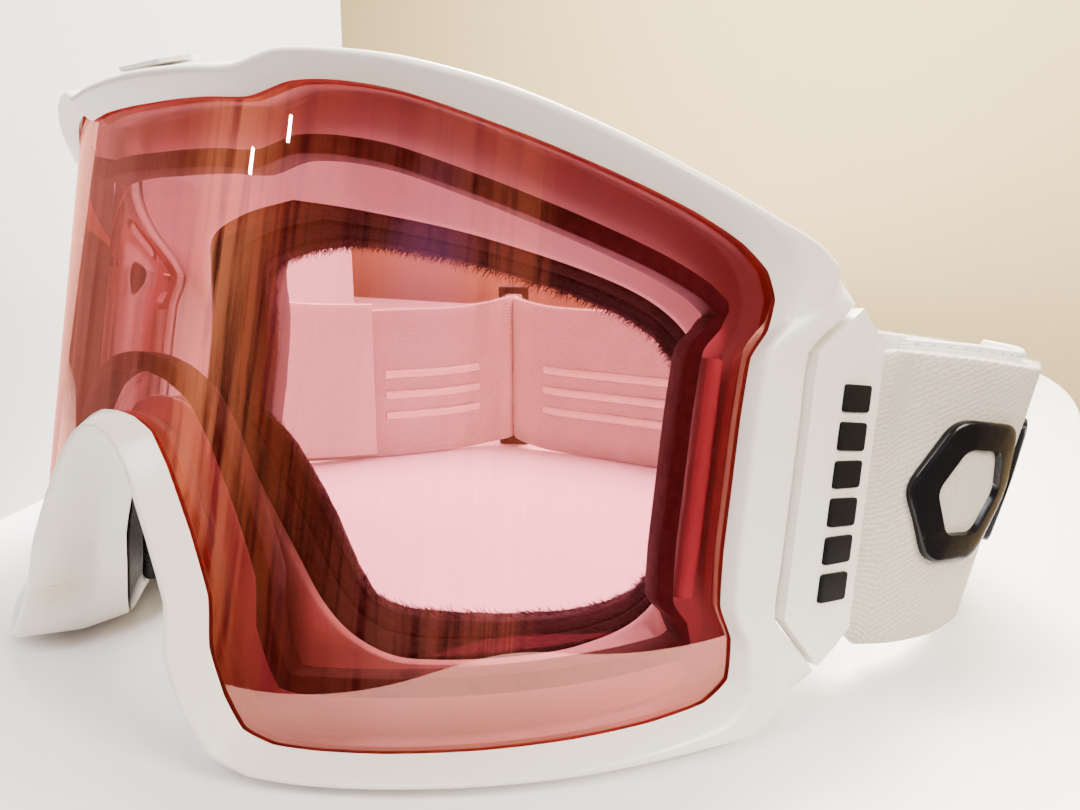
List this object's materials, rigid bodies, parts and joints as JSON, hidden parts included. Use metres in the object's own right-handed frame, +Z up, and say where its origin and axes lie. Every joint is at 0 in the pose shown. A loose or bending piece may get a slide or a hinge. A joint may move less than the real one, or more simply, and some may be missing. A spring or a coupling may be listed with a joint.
{
  "type": "ski goggles",
  "caption": "Wide wraparound ski goggles with a tinted curved lens, a padded face frame, pivoting strap outriggers and an adjustable elastic strap.",
  "frame": {"origin": "centre of the bounding box on the surface that the goggles stand on", "axes": "+X to the wearer's left, +Y from the lens towards the face, +Z up; the goggles lean back 11.5 degrees on their lower rim"},
  "size_m": [0.2118, 0.194, 0.1004],
  "materials": {
    "white_frame": "satin moulded polyurethane, soft highlights",
    "rose_lens": "polished rose polycarbonate with a thin mirror coating",
    "inner_lens": "polished clear acetate",
    "grey_foam": "open-cell foam, matte",
    "black_foam": "open-cell foam, matte",
    "black_fleece": "brushed fleece",
    "black_gloss": "glossy black",
    "cream_strap": "fuzzy woven elastic webbing",
    "silicone": "satin silicone",
    "steel_pin": "drawn steel"
  },
  "bodies": {
    "frame": {"brow_pad": "white_frame", "face_flange": "white_frame", "face_fleece": "black_fleece", "foam_base_layer": "grey_foam", "foam_middle_layer": "black_foam", "frame_shell": "white_frame", "grip_bead_lower_left": "silicone", "grip_bead_lower_right": "silicone", "grip_bead_middle_left": "silicone", "grip_bead_middle_right": "silicone", "grip_bead_upper_left": "silicone", "grip_bead_upper_right": "silicone", "hinge_lug_lower_left": "white_frame", "hinge_lug_lower_right": "white_frame", "hinge_lug_upper_left": "white_frame", "hinge_lug_upper_right": "white_frame", "hinge_pin_left": "steel_pin", "hinge_pin_right": "steel_pin", "inner_lens": "inner_lens", "lens_post_left": "white_frame", "lens_post_right": "white_frame", "lens_spacer_gasket": "grey_foam", "lower_vent_foam_left": "grey_foam", "lower_vent_foam_right": "grey_foam", "outer_lens": "rose_lens", "strap_badge_front_left": "black_gloss", "strap_badge_front_right": "black_gloss", "strap_badge_rear_left": "black_gloss", "strap_badge_rear_right": "black_gloss", "strap_inner_layer_left": "cream_strap", "strap_inner_layer_right": "cream_strap", "strap_left": "cream_strap", "strap_right": "cream_strap", "top_vent_foam": "grey_foam"},
    "outrigger_left": {"outrigger_left": "white_frame", "outrigger_inlay_left": "black_gloss", "strap_bar_left": "white_frame", "strap_end_left": "cream_strap"},
    "outrigger_right": {"outrigger_right": "white_frame", "outrigger_inlay_right": "black_gloss", "strap_bar_right": "white_frame", "strap_end_right": "cream_strap"},
    "slider": {"strap_slider": "black_gloss"}
  },
  "joints": [
    {"name": "outrigger_left_swing", "type": "hinge", "parent": "frame", "child": "outrigger_left", "pos_m": [0.07694, -0.0289, 0.03294], "axis": [0, 0.1994, 0.9799], "range_deg": [-6, 0]},
    {"name": "outrigger_right_swing", "type": "hinge", "parent": "frame", "child": "outrigger_right", "pos_m": [-0.09145, -0.0289, 0.03294], "axis": [0, 0.1994, 0.9799], "range_deg": [0, 6]},
    {"name": "strap_slider_slide", "type": "slide", "parent": "frame", "child": "slider", "axis": [-0.5101, 0.8601, 0], "range_m": [0, 0.012]}
  ]
}
